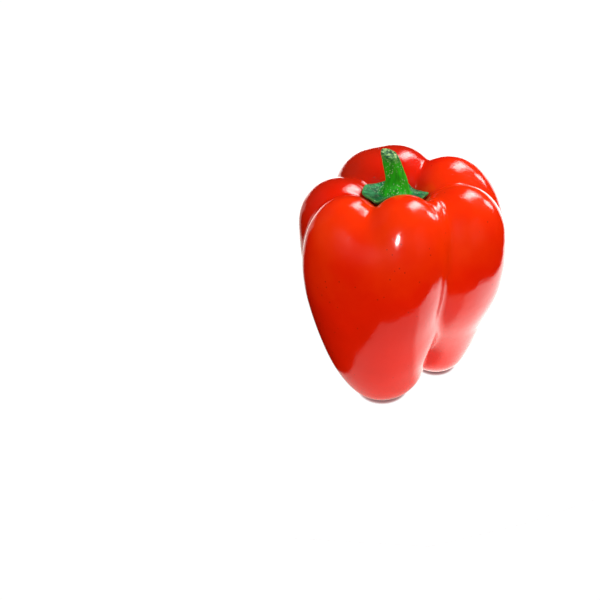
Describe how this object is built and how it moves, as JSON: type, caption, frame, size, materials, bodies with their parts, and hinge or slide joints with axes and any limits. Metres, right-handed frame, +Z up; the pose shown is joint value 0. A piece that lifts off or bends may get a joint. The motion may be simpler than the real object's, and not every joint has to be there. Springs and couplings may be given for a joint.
{
  "type": "bell pepper",
  "caption": "Whole glossy bell pepper standing upright: a lobed, tapering fruit on rounded feet, with a green calyx and a cut stem.",
  "frame": {"origin": "middle of the footprint, on the surface the pepper stands on", "axes": "+Z up along the height, to the cut end of the stem; -Y towards the pair of lobes that share the largest foot; +X towards the lobes of the right foot"},
  "size_m": [0.0812, 0.0832, 0.1013],
  "materials": {
    "skin": "glossy, waxy red skin",
    "stalk": "satin green, finely speckled"
  },
  "bodies": {
    "root": {"fruit": "skin", "stalk": "stalk"}
  },
  "joints": []
}
